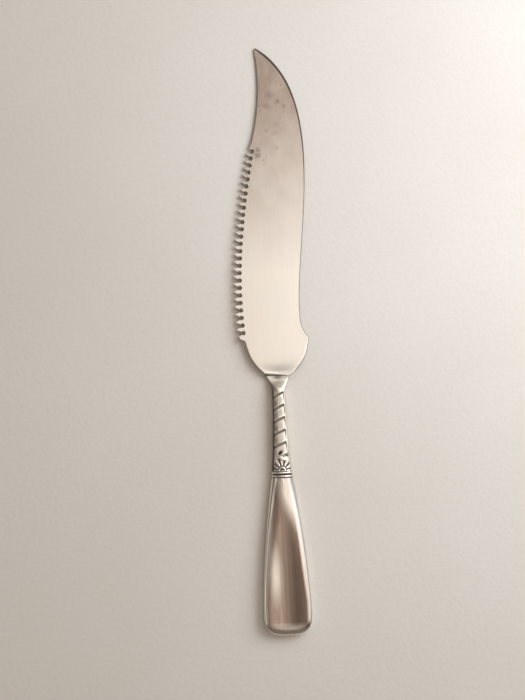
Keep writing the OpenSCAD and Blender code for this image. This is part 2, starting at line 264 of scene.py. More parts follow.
# Haze on the handle, a painted dark reflection of the room: it slants, ends short of the neck, the butt and
# the rims, and is darker on the right as painted shade
HAZE_SLANT = 2.1
HAZE_TOP = (64, 54)
HAZE_BUTT = (3, 6)
HAZE_WIDENING = (60, 15)
HAZE_HALF = (4.6, 9.9)
HAZE_RIGHT_RIM = (0.82, 0.93)
HAZE_LEFT_RIM = (-0.96, -0.84)
HAZE_RIGHT_SHADE = 0.88
HAZE_RIGHT_SHADE_RAMP = (-3, 4)
# A patch kept clear of the haze, which paints a lighter streak: its middle, its radii and its fade
STREAK_PLACE = (-4.9, 27)
STREAK_RADII = (2.7, 12.5)
STREAK_RAMP = (0.2, 1.3)

# Points round a section, and rows of points along each stretch
AROUND = 192
SHELL_AROUND = 72
SHELL_ROWS = 160
COLLAR_ROWS = 90
TWIST_ROWS = 300
FAN_ROWS = 40
TONGUE_ROWS = 16
RING_POINTS = 16
SPINE_POINTS = 120
NOTCH_POINTS = 18
FRONT_POINTS = 60
HEEL_POINTS = 24
GULLET_POINTS = 20

# Grid of points over the face of the blade, with finer rows at the heel
FACE_ROWS = 200
FINE_ROWS = 30
FINE_ROW = 0.35
COARSE_ROW = 1.6
FACE_COLUMNS = 24
FACE_COLUMN = 1.45
FACE_CLEARANCE = 0.5


def mix(a, b, t):
    return a + (b - a) * t


def clamp(t):
    return min(1.0, max(0.0, t))


def ease(t):
    t = clamp(t)
    return t * t * (3 - 2 * t)


def eased(value, start, span):
    """An eased step from 0 at the start to 1 at the end of the span."""
    return ease((value - start) / span)


def bell(t):
    return math.exp(-t * t)


def dome(t):
    return math.sqrt(max(0.0, 1 - t * t))


def bezier(points, t):
    weights = ((1 - t) ** 3, 3 * t * (1 - t) ** 2, 3 * t * t * (1 - t), t**3)
    return Vector([sum(w * p[k] for w, p in zip(weights, points)) for k in (0, 1)])


def on_blade(share):
    return Vector((share[0] * BLADE_WIDTH, share[1] * BLADE_LENGTH))


def swell(t, square):
    """Half of a superellipse: the height at a share t of the half width."""
    return max(0.0, 1 - abs(t) ** square) ** (1 / square)


def section(y, mid_z, half, up, down, square, count=AROUND):
    """One closed section across the knife."""
    ring = []
    for i in range(count):
        angle = 2 * math.pi * i / count
        t = math.cos(angle)
        rise = up if i <= count // 2 else -down
        ring.append((half * t, y, mid_z + rise * swell(t, square), 0.0))
    return ring


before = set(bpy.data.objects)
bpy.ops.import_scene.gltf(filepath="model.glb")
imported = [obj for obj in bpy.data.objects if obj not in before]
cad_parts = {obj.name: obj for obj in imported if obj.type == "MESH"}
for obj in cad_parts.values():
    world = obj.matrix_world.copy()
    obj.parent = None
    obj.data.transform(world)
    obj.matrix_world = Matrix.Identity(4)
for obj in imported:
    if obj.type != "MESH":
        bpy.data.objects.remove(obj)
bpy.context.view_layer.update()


# Materials


def add_node(tree, kind, inputs=None, **settings):
    """A shader node. An input is a value, or the socket that feeds it."""
    node = tree.nodes.new("ShaderNode" + kind)
    for name, value in settings.items():
        setattr(node, name, value)
    for name, value in (inputs or {}).items():
        if isinstance(value, bpy.types.NodeSocket):
            tree.links.new(value, node.inputs[name])
        else:
            node.inputs[name].default_value = value
    return node


def new_material(name):
    """A material with an empty tree, its shader and its object coordinates."""
    material = bpy.data.materials.new(name)
    material.use_nodes = True
    tree = material.node_tree
    tree.nodes.clear()
    shader = add_node(tree, "BsdfPrincipled")
    output = add_node(tree, "OutputMaterial")
    tree.links.new(shader.outputs["BSDF"], output.inputs["Surface"])
    coords = add_node(tree, "TexCoord").outputs["Object"]
    return material, tree, shader, coords


def stretched_noise(tree, coords, scale, detail=3.0, rough=0.55):
    """Noise with its own scale on each axis, per metre."""
    mapped = add_node(tree, "Mapping", {"Vector": coords, "Scale": scale}).outputs["Vector"]
    noise = add_node(tree, "TexNoise", {"Vector": mapped, "Scale": 1.0, "Detail": detail, "Roughness": rough})
    return noise.outputs["Fac"]


def ranged(tree, value, low, high, to_low=0.0, to_high=1.0):
    """A value clamped and mapped from one range to another."""
    inputs = {"Value": value, "From Min": low, "From Max": high, "To Min": to_low, "To Max": to_high}
    return add_node(tree, "MapRange", inputs).outputs["Result"]


def maths(tree, operation, a, b):
    node = add_node(tree, "Math", operation=operation)
    for socket, value in zip(node.inputs, (a, b)):
        if isinstance(value, bpy.types.NodeSocket):
            tree.links.new(value, socket)
        else:
            socket.default_value = value
    return node.outputs["Value"]


def blended(tree, amount, a, b, blend_type="MIX"):
    """Two colours mixed, each a tuple or a socket."""
    node = add_node(tree, "Mix", data_type="RGBA", blend_type=blend_type)
    for name, value in (("Factor", amount), ("A", a), ("B", b)):
        socket = next(s for s in node.inputs if s.name == name and s.type in ("VALUE", "RGBA") and s.enabled)
        if isinstance(value, bpy.types.NodeSocket):
            tree.links.new(value, socket)
        else:
            socket.default_value = value if name == "Factor" else (*value, 1.0)
    return next(s for s in node.outputs if s.type == "RGBA")


OXIDE_AND_SHADE = (0.035, 0.022, 0.016)
PAINTED_HAZE = (0.41, 0.315, 0.256)
STAIN_AND_SHADE = (0.19, 0.138, 0.113)
BARE_SILVER = (1.0, 0.96, 0.9)
SCRATCH_SCALE = (5200, 90, 400)
CLOUD_SCALE = (130, 70, 130)

# The blade's painted shade deepens between these two stations of the imported model, in metres
BLADE_HAZE_RAMP = (0.03, 0.108)
BLADE_PATCHES = 0.22
BLADE_SPECKS = 0.6


def silver(name, colour, rough, streak_scale, streak_tint, darkening=None, dulling=0.0):
    """Worn silver: lengthwise rubbing, cloudy wear, and oxide in the recesses, with painted shade where
    points are darkened.

    The function passed for the haze takes the tree and the coordinates, and gives where a brown haze lies,
    painted shade and painted dark reflection, and where dark marks lie: stains, and on the handle painted
    shade.
    dulling is the roughness that a full haze adds.
    """
    material, tree, shader, coords = new_material(name)
    scratches = stretched_noise(tree, coords, SCRATCH_SCALE, detail=4.0)
    streaks = stretched_noise(tree, coords, streak_scale, detail=3.0)
    clouds = stretched_noise(tree, coords, CLOUD_SCALE, detail=4.0)
    oxide_and_shade = add_node(tree, "Attribute", attribute_name="oxide_and_shade").outputs["Fac"]

    tint = blended(tree, ranged(tree, streaks, 0.35, 0.68), colour, streak_tint)
    tint = blended(tree, ranged(tree, clouds, 0.42, 0.75, 0.0, 0.35), tint, streak_tint)
    if darkening:
        haze, dark_marks = darkening(tree, coords)
        # The haze is painted shade and painted dark reflection; the dark marks are stains, and on the handle
        # painted shade
        tint = blended(tree, dark_marks, blended(tree, haze, tint, PAINTED_HAZE), STAIN_AND_SHADE)
    tint = blended(tree, ranged(tree, scratches, 0.62, 0.75, 0.0, 0.3), tint, BARE_SILVER)
    # The darkening of each point turns the colour toward black: oxide in grooves and joints, painted shade
    # elsewhere
    tree.links.new(blended(tree, oxide_and_shade, tint, OXIDE_AND_SHADE), shader.inputs["Base Color"])

    worn = ranged(tree, scratches, 0.35, 0.7, rough[0], rough[1])
    worn = maths(tree, "ADD", worn, ranged(tree, clouds, 0.4, 0.7, -0.03, 0.05))
    worn = maths(tree, "ADD", worn, maths(tree, "MULTIPLY", oxide_and_shade, 0.35))
    if darkening:
        worn = maths(tree, "ADD", worn, maths(tree, "MULTIPLY", haze, dulling))
    tree.links.new(worn, shader.inputs["Roughness"])
    tree.links.new(ranged(tree, oxide_and_shade, 0.2, 1.0, 1.0, 0.35), shader.inputs["Metallic"])

    relief = {"Height": scratches, "Strength": 0.25, "Distance": 0.00003}
    tree.links.new(add_node(tree, "Bump", relief).outputs["Normal"], shader.inputs["Normal"])
    return material


def blade_shade_and_stains(tree, coords):
    """Painted shade deepens toward the point, where the blade reflects darker, with dark specks and stains in
    it.
    """
    y = add_node(tree, "SeparateXYZ", {"Vector": coords}).outputs["Y"]
    # Painted shade toward the point
    toward_point = ranged(tree, y, *BLADE_HAZE_RAMP)
    patches = ranged(tree, stretched_noise(tree, coords, (160, 110, 160), detail=5.0), 0.35, 0.65)
    uneven = maths(tree, "ADD", 1 - BLADE_PATCHES, maths(tree, "MULTIPLY", patches, BLADE_PATCHES))
    haze = maths(tree, "MULTIPLY", toward_point, uneven)
    grains = add_node(tree, "TexVoronoi", {"Vector": coords, "Scale": 420.0, "Randomness": 1.0})
    speck = ranged(tree, grains.outputs["Distance"], 0.12, 0.3, 1.0, 0.0)
    rare = ranged(tree, stretched_noise(tree, coords, (90, 60, 90), detail=2.0), 0.56, 0.7)
    speck = maths(tree, "MULTIPLY", maths(tree, "MULTIPLY", speck, rare), toward_point)
    dark_marks = maths(tree, "MULTIPLY", speck, BLADE_SPECKS)
    ragged = add_node(tree, "TexNoise", {"Vector": coords, "Scale": 1400.0, "Detail": 3.0}).outputs["Fac"]
    for across, along, radius, strength in STAIN_SHARES:
        distance = add_node(tree, "VectorMath", {0: coords}, operation="DISTANCE")
        x, y = on_blade((across, along))
        distance.inputs[1].default_value = ((x - MID_X) * MM, (HEEL_Y + y - MID_Y) * MM, STAIN_LEVEL * MM)
        blur = maths(tree, "MULTIPLY", ragged, radius * STAIN_RAGGED_SHARE * MM)
        edge = maths(tree, "ADD", distance.outputs["Value"], blur)
        core = radius * STAIN_CORE_SHARE * MM
        spot = ranged(tree, edge, core, radius * STAIN_EDGE_SHARE * MM, strength, 0.0)
        dark_marks = maths(tree, "MAXIMUM", dark_marks, spot)
    return haze, dark_marks


def handle_painted_shade(tree, coords):
    """Painted dark reflection over the handle's dish, a painted lighter streak, and painted shade down the
    right.
    """
    split = add_node(tree, "SeparateXYZ", {"Vector": coords}).outputs
    x, y = split["X"], split["Y"]
    slanted = maths(tree, "ADD", y, maths(tree, "MULTIPLY", x, HAZE_SLANT))
    shift = -MID_Y - HAZE_SLANT * MID_X
    over_dish = ranged(tree, slanted, *[(limit + shift) * MM for limit in HAZE_TOP])
    over_butt = ranged(tree, y, *[(limit - MID_Y) * MM for limit in HAZE_BUTT])
    over_dish = maths(tree, "MULTIPLY", over_dish, over_butt)
    narrow, wide = [half * MM for half in HAZE_HALF]
    half = ranged(tree, y, *[(limit - MID_Y) * MM for limit in HAZE_WIDENING], narrow, wide)
    across = maths(tree, "DIVIDE", maths(tree, "ADD", x, MID_X * MM), half)
    over_dish = maths(tree, "MULTIPLY", over_dish, ranged(tree, across, *HAZE_RIGHT_RIM, 1.0, 0.0))
    over_dish = maths(tree, "MULTIPLY", over_dish, ranged(tree, across, *HAZE_LEFT_RIM))
    # The haze is left off this patch, which paints a lighter streak there
    scale = Vector((1 / STREAK_RADII[0], 1 / STREAK_RADII[1], 0)) / MM
    place = -MM * scale * Vector((STREAK_PLACE[0] - MID_X, STREAK_PLACE[1] - MID_Y, 0))
    patch = add_node(tree, "Mapping", {"Vector": coords, "Location": place, "Scale": scale})
    away = add_node(tree, "VectorMath", {0: patch.outputs["Vector"]}, operation="LENGTH").outputs["Value"]
    streaks = stretched_noise(tree, coords, (900, 26, 200), detail=4.0)
    haze = maths(tree, "MULTIPLY", over_dish, ranged(tree, streaks, 0.36, 0.62, 0.74, 1.0))
    haze = maths(tree, "MULTIPLY", haze, ranged(tree, away, *STREAK_RAMP))
    # Painted shade down the right side of the dish
    right_side = ranged(tree, x, *[(limit - MID_X) * MM for limit in HAZE_RIGHT_SHADE_RAMP], 0.0, HAZE_RIGHT_SHADE)
    return haze, maths(tree, "MULTIPLY", over_dish, right_side)


def pitch_cement():
    """Brown cement with grains of filler."""
    material, tree, shader, coords = new_material("pitch_cement")
    grains = stretched_noise(tree, coords, (2500, 2500, 2500), detail=5.0)
    tree.links.new(
        blended(tree, ranged(tree, grains, 0.35, 0.7), (0.2, 0.13, 0.09), (0.38, 0.27, 0.19)),
        shader.inputs["Base Color"],
    )
    shader.inputs["Roughness"].default_value = 0.85
    relief = {"Height": grains, "Strength": 0.4, "Distance": 0.0002}
    tree.links.new(add_node(tree, "Bump", relief).outputs["Normal"], shader.inputs["Normal"])
    return material


def pale_paper():
    """Thick pale paper with a soft tooth."""
    material, tree, shader, coords = new_material("pale_paper")
    tooth = stretched_noise(tree, coords, (520, 520, 520), detail=4.0, rough=0.6)
    wash = stretched_noise(tree, coords, (9, 9, 9), detail=2.0)
    tint = blended(tree, ranged(tree, wash, 0.35, 0.65), (0.78, 0.738, 0.682), (0.75, 0.702, 0.64))
    tree.links.new(
        blended(tree, ranged(tree, tooth, 0.4, 0.7, 0.0, 0.25), tint, (0.69, 0.642, 0.58)),
        shader.inputs["Base Color"],
    )
    shader.inputs["Roughness"].default_value = 0.9
    relief = {"Height": tooth, "Strength": 0.35, "Distance": 0.0004}
    tree.links.new(add_node(tree, "Bump", relief).outputs["Normal"], shader.inputs["Normal"])
    return material


# Pieces


def add_piece(name, points, faces, material, node, slot, sharp_angle=40):
    """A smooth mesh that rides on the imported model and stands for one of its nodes."""
    mesh = bpy.data.meshes.new(name)
    mesh.from_pydata([((x - MID_X) * MM, (y - MID_Y) * MM, z * MM) for x, y, z, _ in points], [], faces)
    mesh.attributes.new("oxide_and_shade", "FLOAT", "POINT").data.foreach_set("value", [p[3] for p in points])
    mesh.validate()
    mesh.shade_smooth()
    mesh.set_sharp_from_angle(angle=math.radians(sharp_angle))
    mesh.materials.append(material)
    piece = bpy.data.objects.new(name, mesh)
    bpy.context.scene.collection.objects.link(piece)
    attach(piece, "root")
    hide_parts(node)


def loft(rings, ends):
    """Points and faces through rings of equal counts.

    The ends are fans about their middle, strips across paired points, or joined into a closed loop.
    """
    n = len(rings[0])
    last = len(rings) - 1
    points = [p for ring in rings for p in ring]
    faces = []
    for k in range(last + 1 if ends == "joined" else last):
        a = k * n
        b = (k + 1) % (last + 1) * n
        for i in range(n):
            j = (i + 1) % n
            faces.append((a + i, b + i, b + j, a + j))
    if ends == "fans":
        for k, ring in ((0, rings[0]), (last, rings[last])):
            middle = len(points)
            points.append(tuple(sum(p[c] for p in ring) / n for c in range(4)))
            for i in range(n):
                j = (i + 1) % n
                a = k * n
                faces.append((middle, a + i, a + j) if k == 0 else (middle, a + j, a + i))
    if ends == "strips":
        for k in (0, last):
            a = k * n
            for i in range(n // 2 - 1):
                j = n - 1 - i
                quad = (a + i, a + i + 1, a + j - 1, a + j)
                faces.append(quad if k == 0 else quad[::-1])
    return points, faces


# Blade


def blade_thickness(y):
    return mix(HEEL_THICKNESS, POINT_THICKNESS, y / BLADE_LENGTH)


def gullet(t):
    return on_blade(bezier(GULLET_SHARES, t))


def gullet_along(t):
    return (gullet(t + 1 / GULLET_COUNT) - gullet(t - 1 / GULLET_COUNT)).normalized()


def seam_point(x):
    drop = SEAM_TILT * x + SEAM_DROP * max(0.0, x / SEAM_RIGHT) ** 3
    return Vector((x, SEAM_SAG * (2 * x / FAN_WIDTH) ** 2 - drop))


def tooth_line(t, reach_share):
    """A point on the line of the tooth tips, at a share of the way to it from the gullets."""
    along = gullet_along(t)
    return gullet(t) + reach_share * TOOTH_REACH * Vector((along[1], -along[0]))


def flank_crossing(angle, corner):
    """Where a straight flank leaves the round of a gullet on its way to a corner of the mouth."""
    radius = GULLET_DIAMETER / 2
    start = FLANK_START_SHARE * radius * Vector((math.cos(angle), math.sin(angle)))
    step = corner - start
    half = start.dot(step) / step.length_squared
    rest = (start.length_squared - radius**2) / step.length_squared
    return start + step * (math.sqrt(half**2 - rest) - half)


def keyhole(t, first_reach=1.0, last_reach=1.0):
    """One gullet, from the corner of its mouth nearer the point, round its bottom, to the other corner."""
    along = gullet_along(t)
    outward = Vector((along[1], -along[0]))
    pitch = (gullet(1 / (GULLET_COUNT - 1)) - gullet(0)).length
    mouth = (pitch - TOOTH_TIP) / 2
    lean = TOOTH_LEAN_SHARE * pitch
    corners = [Vector((TOOTH_REACH, -mouth - lean)), Vector((TOOTH_REACH, mouth - lean))]
    ends = [flank_crossing(-POINT_FLANK_ANGLE, corners[0]), flank_crossing(HANDLE_FLANK_ANGLE, corners[1])]
    first, last = [math.atan2(p[1], p[0]) for p in ends]
    radius = GULLET_DIAMETER / 2
    turns = [mix(first, last - 2 * math.pi, k / GULLET_POINTS) for k in range(GULLET_POINTS + 1)]
    local = [mix(ends[0], corners[0], (first_reach * TOOTH_REACH - ends[0][0]) / (TOOTH_REACH - ends[0][0]))]
    local += [(radius * math.cos(a), radius * math.sin(a)) for a in turns]
    local += [mix(ends[1], corners[1], (last_reach * TOOTH_REACH - ends[1][0]) / (TOOTH_REACH - ends[1][0]))]
    return [gullet(t) + out * outward + side * along for out, side in local]


def blade_outline():
    """The outline clockwise from the point down the spine.

    With it come the width of the bevel and the painted shade at each of its points.
    """
    seam_left = -FAN_WIDTH / 2
    spur = [on_blade(p) for p in SPUR_SHARES] + [seam_point(SEAM_RIGHT)]
    heel = [on_blade(p) for p in HEEL_SHARES] + [seam_point(seam_left)]
    right = [on_blade(bezier(SPINE_SHARES, k / SPINE_POINTS)) for k in range(SPINE_POINTS)]
    right += [on_blade(bezier(NOTCH_SHARES, k / NOTCH_POINTS)) for k in range(NOTCH_POINTS)]
    right += [bezier(spur, k / HEEL_POINTS) for k in range(HEEL_POINTS)]
    right += [seam_point(mix(SEAM_RIGHT, seam_left, k / HEEL_POINTS)) for k in range(HEEL_POINTS)]
    left = [on_blade(bezier(FRONT_SHARES, k / FRONT_POINTS)) for k in range(FRONT_POINTS + 1)]
    smooth_front = len(left)
    step = 1 / (GULLET_COUNT - 1)
    left += [tooth_line(place * step, reach) for place, reach in FIRST_TOOTH_SHARES]
    left += keyhole(0, first_reach=FIRST_FLANK_SHARE)
    for i in range(1, GULLET_COUNT - 1):
        left += keyhole(i * step)
    left += keyhole(1, last_reach=LAST_FLANK_SHARE)
    left += [tooth_line(1 + place * step, reach) for place, reach in LAST_TOOTH_SHARES]
    smooth_heel = len(left)
    left += [bezier(heel, k / HEEL_POINTS) for k in range(HEEL_POINTS + 1)]

    widths = []
    for _, y in right:
        width = mix(*SPINE_BEVEL_WIDTHS, clamp((y - SPINE_BEVEL_START) / SPINE_BEVEL_SPAN))
        width = mix(HEEL_BEVEL_WIDTH, width, eased(y, *HEEL_BEVEL_STEP))
        widths.append(mix(SEAM_BEVEL_WIDTH, width, eased(y, SEAM_SAG, SEAM_BEVEL_SPAN)))
    left_widths = [FRONT_BEVEL_WIDTH] * (smooth_front - 1)
    left_widths += [CUT_BEVEL_WIDTH] * (smooth_heel - smooth_front + 2)
    left_widths += [SEAM_BEVEL_WIDTH] * (len(left) - len(left_widths))
    outline = right + left[::-1]
    point = on_blade(SPINE_SHARES[0])
    faded = []
    for p, width in zip(outline, widths + left_widths[::-1]):
        full = ease((p - point).length / BEVEL_FADE)
        faded.append(min(width, mix(CUT_BEVEL_WIDTH, width, full)))

    bottoms = [gullet(i * step) for i in range(GULLET_COUNT)]
    # Painted dark reflection on the front's bevel
    darkening = [FRONT_PAINTED_SHADE] * smooth_front
    # Painted shadow at the bottoms of the gullets
    for p in left[smooth_front:]:
        darkened = min((p - c).length for c in bottoms) < SHADOWED_BOTTOM_SHARE * GULLET_DIAMETER
        darkening.append(GULLET_PAINTED_SHADOW if darkened else 0.0)
    # Painted dark reflection along the spine's bevel
    return outline, faded, [SPINE_PAINTED_SHADE] * len(right) + darkening[::-1]


def inward(outline):
    """The mitred inward direction at each point of a clockwise outline."""
    moves = []
    n = len(outline)
    for i, p in enumerate(outline):
        before = (p - outline[i - 1]).normalized()
        after = (outline[(i + 1) % n] - p).normalized()
        normal = Vector((before[1] + after[1], -before[0] - after[0]))
        share = max(MITRE_LIMIT, 1 + before.dot(after))
        moves.append(normal / share)
    return moves


def hollow(x, y):
    """Depth of the shallow curved hollow above the heel's rim, as a share."""
    middle = HOLLOW_MIDDLE + HOLLOW_BOW * (x / HOLLOW_BOW_WIDTH) ** 2
    width = HOLLOW_ABOVE if y > middle else HOLLOW_BELOW
    return bell(x / HOLLOW_WIDTH) * bell((y - middle) / width)


def blade_top(x, y):
    return blade_thickness(y) - HOLLOW_DEPTH * hollow(x, y)


def on_knife(x, y, z, oxide_and_shade):
    """A point of the blade's own frame, set down so that its point meets the paper."""
    turn = math.asin(HEEL_HEIGHT / BLADE_LENGTH)
    return (
        x,
        HEEL_Y + y * math.cos(turn) + z * math.sin(turn),
        HEEL_HEIGHT + SEAT_GAP - y * math.sin(turn) + z * math.cos(turn),
        oxide_and_shade,
    )


def edge_shade(y, inset, width):
    """Painted dark reflection covers the whole bevel along the blade, its very point, and a thin line round
    the heel.
    """
    dark = mix(HEEL_SHADE_WIDTH, width, eased(y, *HEEL_SHADE_STEP))
    beside = ease((dark - inset) / EDGE_SHADE_FADE + EDGE_SHADE_LEAD)
    return max(beside, ease(y - BLADE_LENGTH + POINT_SHADE))


def make_blade():
    outline, widths, darkening = blade_outline()
    moves = inward(outline)
    n = len(outline)
    angles = [math.pi / 2 * k / BEVEL_STEPS for k in range(BEVEL_STEPS + 1)]
    profile = [(1 - math.cos(a), 1 - math.sin(a)) for a in angles]

    def ring(inset, drop, top):
        points = []
        for p, move, width, dark in zip(outline, moves, widths, darkening):
            q = p + move * (inset * width + (SUPPORT_WIDTH if drop is None else 0))
            down = 0 if drop is None else drop * width * BEVEL_DEPTH_SHARE
            z = blade_top(q[0], q[1]) - down if top else down
            points.append((q[0], q[1], z, dark * edge_shade(p[1], (q - p).length, width)))
        return points

    rings = [ring(1, None, False)]
    rings += [ring(i, d, False) for i, d in reversed(profile)]
    rings += [ring(i, d, True) for i, d in profile]
    rings += [ring(1, None, True)]
    points = [p for r in rings for p in r]
    faces = []
    for k in range(len(rings) - 1):
        for i in range(n):
            j = (i + 1) % n
            faces.append((k * n + i, k * n + j, (k + 1) * n + j, (k + 1) * n + i))

    edge = [Vector(p[:2]) for p in rings[-1]]
    inner = []
    for row in range(FACE_ROWS):
        y = FINE_ROW * min(row, FINE_ROWS) + COARSE_ROW * max(0, row - FINE_ROWS)
        for column in range(FACE_COLUMNS):
            q = Vector((-BLADE_WIDTH / 2 + column * FACE_COLUMN, y))
            if all((q - p).length > FACE_CLEARANCE for p in edge):
                inner.append(q)
    loop = [(i, (i + 1) % n) for i in range(n)]
    flat, _, cells, origins, _, _ = delaunay_2d_cdt(edge + inner, loop, [list(range(n))], 1, 1e-5)
    for top, start in ((True, (len(rings) - 1) * n), (False, 0)):
        index = {}
        for c in sorted({c for cell in cells for c in cell}):
            on_edge = [s for s in origins[c] if s < n]
            if on_edge:
                index[c] = start + on_edge[0]
            else:
                index[c] = len(points)
                x, y = flat[c]
                # Painted shade over the heel's hollow
                shade = HOLLOW_SHADE * hollow(x, y - HOLLOW_SHADE_RISE)
                points.append((x, y, blade_top(x, y), shade) if top else (x, y, 0.0, 0.0))
        for cell in cells:
            cell = [index[c] for c in cell]
            sides = zip(cell, cell[1:] + cell[:1])
            area = sum(points[a][0] * points[b][1] - points[b][0] * points[a][1] for a, b in sides)
            faces.append(tuple(cell if (area > 0) == top else cell[::-1]))
    points = [on_knife(*p) for p in points]
    add_piece("blade_plate", points, faces, blade_silver, "blade", "blade_silver", 60)


# Shank


def neck_half(y):
    neck = max(0.0, (FAN_Y - y) / (FAN_Y - COLLAR_Y)) ** 2
    fan = max(0.0, (y - FAN_Y) / FAN_LENGTH) ** 2
    return (STEM_WIDTH + neck * (COLLAR_WIDTH - STEM_WIDTH) + fan * (FAN_WIDTH - STEM_WIDTH)) / 2


def neck_rise(y):
    neck = max(0.0, (FAN_Y - y) / (FAN_Y - COLLAR_Y)) ** 2
    return (STEM_THICKNESS + neck * (COLLAR_THICKNESS - STEM_THICKNESS)) / 2


def left_flank(t, front):
    """Painted shade along the left side, away from the light, from the front face to just behind its edge."""
    return FLANK_PAINTED_SHADE * eased(-t, *(FRONT_FLANK_STEP if front else BACK_FLANK_STEP))


def pit(x, y):
    """Depth of the pits at a place, as a share."""
    deepest = 0.0
    for at_x, at_y, length, width in PITS:
        along = (x - at_x + y - at_y) / math.sqrt(2)
        across = (x - at_x - y + at_y) / math.sqrt(2)
        deepest = max(deepest, bell(along / length) * bell(across / width))
    return ease(PIT_FULL * deepest)


def twist_ring(y):
    """A section of the twist: each strand swells toward the handle and then drops into a crease."""
    half = neck_half(y)
    crest = 0.5 ** (1 / CREST_SKEW)
    square = mix(NECK_SQUARE, TWIST_SQUARE, ease(min(FAN_Y - y, y - TWIST_Y) / TWIST_SQUARE_SPAN))
    ring = []
    for i in range(AROUND):
        angle = 2 * math.pi * i / AROUND
        front = i <= AROUND // 2
        t = math.cos(angle)
        side = math.cos(angle % math.pi)
        turn = (FAN_Y - y) / TWIST_PITCH - (angle - TWIST_SLANT * math.sin(2 * angle)) / (2 * math.pi)
        phase = turn % 1
        swelling = 1.0 if turn < 0 and phase < crest else math.sin(math.pi * phase**CREST_SKEW)
        low, high = MARGIN_RIGHT if side > 0 else MARGIN_LEFT
        inside = 1 - eased(abs(t), low, high - low)
        carved = TWIST_DEPTH * (1 - swelling) * inside

        # A dent at the left end of each crease, with painted shade in it
        past = phase - POCKET_PHASE
        pocket = bell((side - POCKET_SIDE + past * POCKET_SLOPE) / POCKET_WIDTH) * bell(past / POCKET_LENGTH)
        # Oxide in the crease, widened on the left, away from the light, as painted shade
        dark_width = mix(*CREASE_DARK_WIDTHS, ease(side + CREASE_DARK_RIGHT))
        crease = max(bell(phase / dark_width), bell((1 - phase) / CREASE_LIP)) * inside
        crease *= turn > CREASE_FIRST_TURN
        # Painted shade: a dark line inside the right margin, where the step faces away from the light
        margin = bell((side - low - MARGIN_INSET) / MARGIN_LINE) * ease((MARGIN_END - phase) / MARGIN_FADE)
        margin *= side > 0 and turn > 0
        # Painted shade over the upper part of each strand
        strand_shade = STRAND_PAINTED_SHADE * ease((STRAND_SHADE_END - phase) / STRAND_SHADE_FADE) * inside * (turn > 0)
        eye = pit(half * t, y)
        oxide_and_shade = CREASE_OXIDE_AND_SHADE * crease + POCKET_PAINTED_SHADE * pocket + MARGIN_PAINTED_SHADE * margin
        oxide_and_shade = clamp(oxide_and_shade + left_flank(t, front) + strand_shade + eye)

        height = (neck_rise(y) - carved - POCKET_DEPTH * pocket - PIT_DEPTH * eye) * swell(t, square)
        rise = height if front else -height
        ring.append((half * t, y, SEAM_HEIGHT + rise, oxide_and_shade))
    return ring


def fan_ring(t):
    """A section of the fan, with painted shadow and painted dark reflection under the heel of the blade, and
    painted shade along its left flank.
    """
    y = FAN_Y + FAN_LENGTH * t
    half = neck_half(y)
    top = mix(SEAM_HEIGHT + STEM_THICKNESS / 2, HEEL_HEIGHT, ease(t / FAN_FLAT_SHARE))
    bottom = mix(SEAM_HEIGHT - STEM_THICKNESS / 2, HEEL_HEIGHT - TONGUE_THICKNESS, ease(t))
    edge = mix((top + bottom) / 2, top, ease(t))
    ring = []
    for x, y, z, _ in section(y, edge, half, top - edge, edge - bottom, NECK_SQUARE):
        side = x / half
        x *= mix(1, FAN_RIGHT_SHARE, ease(t)) if x > 0 else 1
        # Painted shadow under the heel, a painted dark reflection just below it, and painted shade down the
        # left flank
        under = HEEL_PAINTED_SHADOW * eased(t, *HEEL_SHADOW_STEP) * (1 - eased(side, *HEEL_SHADOW_END_STEP))
        flank_start = mix(*FAN_FLANK_STARTS, t)
        flank = FLANK_PAINTED_SHADE * (1 - FAN_FLANK_FADE * t) * eased(-side, flank_start, FAN_FLANK_SPAN)
        fan_shade = FAN_PAINTED_SHADE * eased(t, *FAN_SHADE_STEP) * bell((side - FAN_SHADE_SIDE) / FAN_SHADE_WIDTH)
        ring.append((x, y, z, clamp(max(under, fan_shade) + flank)))
    return ring


def tongue_ring(t):
    y = TONGUE_LENGTH * t
    half = FAN_WIDTH / 2 * math.sqrt(1 - t * t * (1 - TONGUE_END_SHARE**2))
    thick = TONGUE_THICKNESS * mix(1, TONGUE_END_SHARE, t)
    drop = y * math.tan(math.asin(HEEL_HEIGHT / BLADE_LENGTH))
    ring = section(HEEL_Y + y, HEEL_HEIGHT - drop, half, 0, thick, NECK_SQUARE)
    return [(x * FAN_RIGHT_SHARE if x > 0 else x, *rest) for x, *rest in ring]


def tang_ring(y, gap=0.0):
    half = TANG_WIDTH / 2 + gap
    rise = TANG_THICKNESS / 2 + gap
    return section(y, SEAM_HEIGHT, half, rise, rise, TANG_SQUARE)


def make_shank():
    rings = [tang_ring(TWIST_Y - TANG_LENGTH), tang_ring(TWIST_Y)]
    rings += [twist_ring(mix(TWIST_Y, FAN_Y, k / TWIST_ROWS)) for k in range(TWIST_ROWS + 1)]
    rings += [fan_ring(k / FAN_ROWS) for k in range(1, FAN_ROWS + 1)]
    rings += [tongue_ring(k / TONGUE_ROWS) for k in range(1, TONGUE_ROWS + 1)]
    add_piece("twisted_shank", *loft(rings, "fans"), stem_silver, "shank", "stem_silver")


# Collar and rings


def neck_ring(y, offset):
    rise = neck_rise(y) + offset
    return section(y, SEAM_HEIGHT, neck_half(y) + offset, rise, rise, NECK_SQUARE)


def near_segment(p, a, b):
    """Distance from a segment, and the share along it."""
    along = b - a
    share = clamp((p - a).dot(along) / along.length_squared)
    return (p - a - along * share).length, share


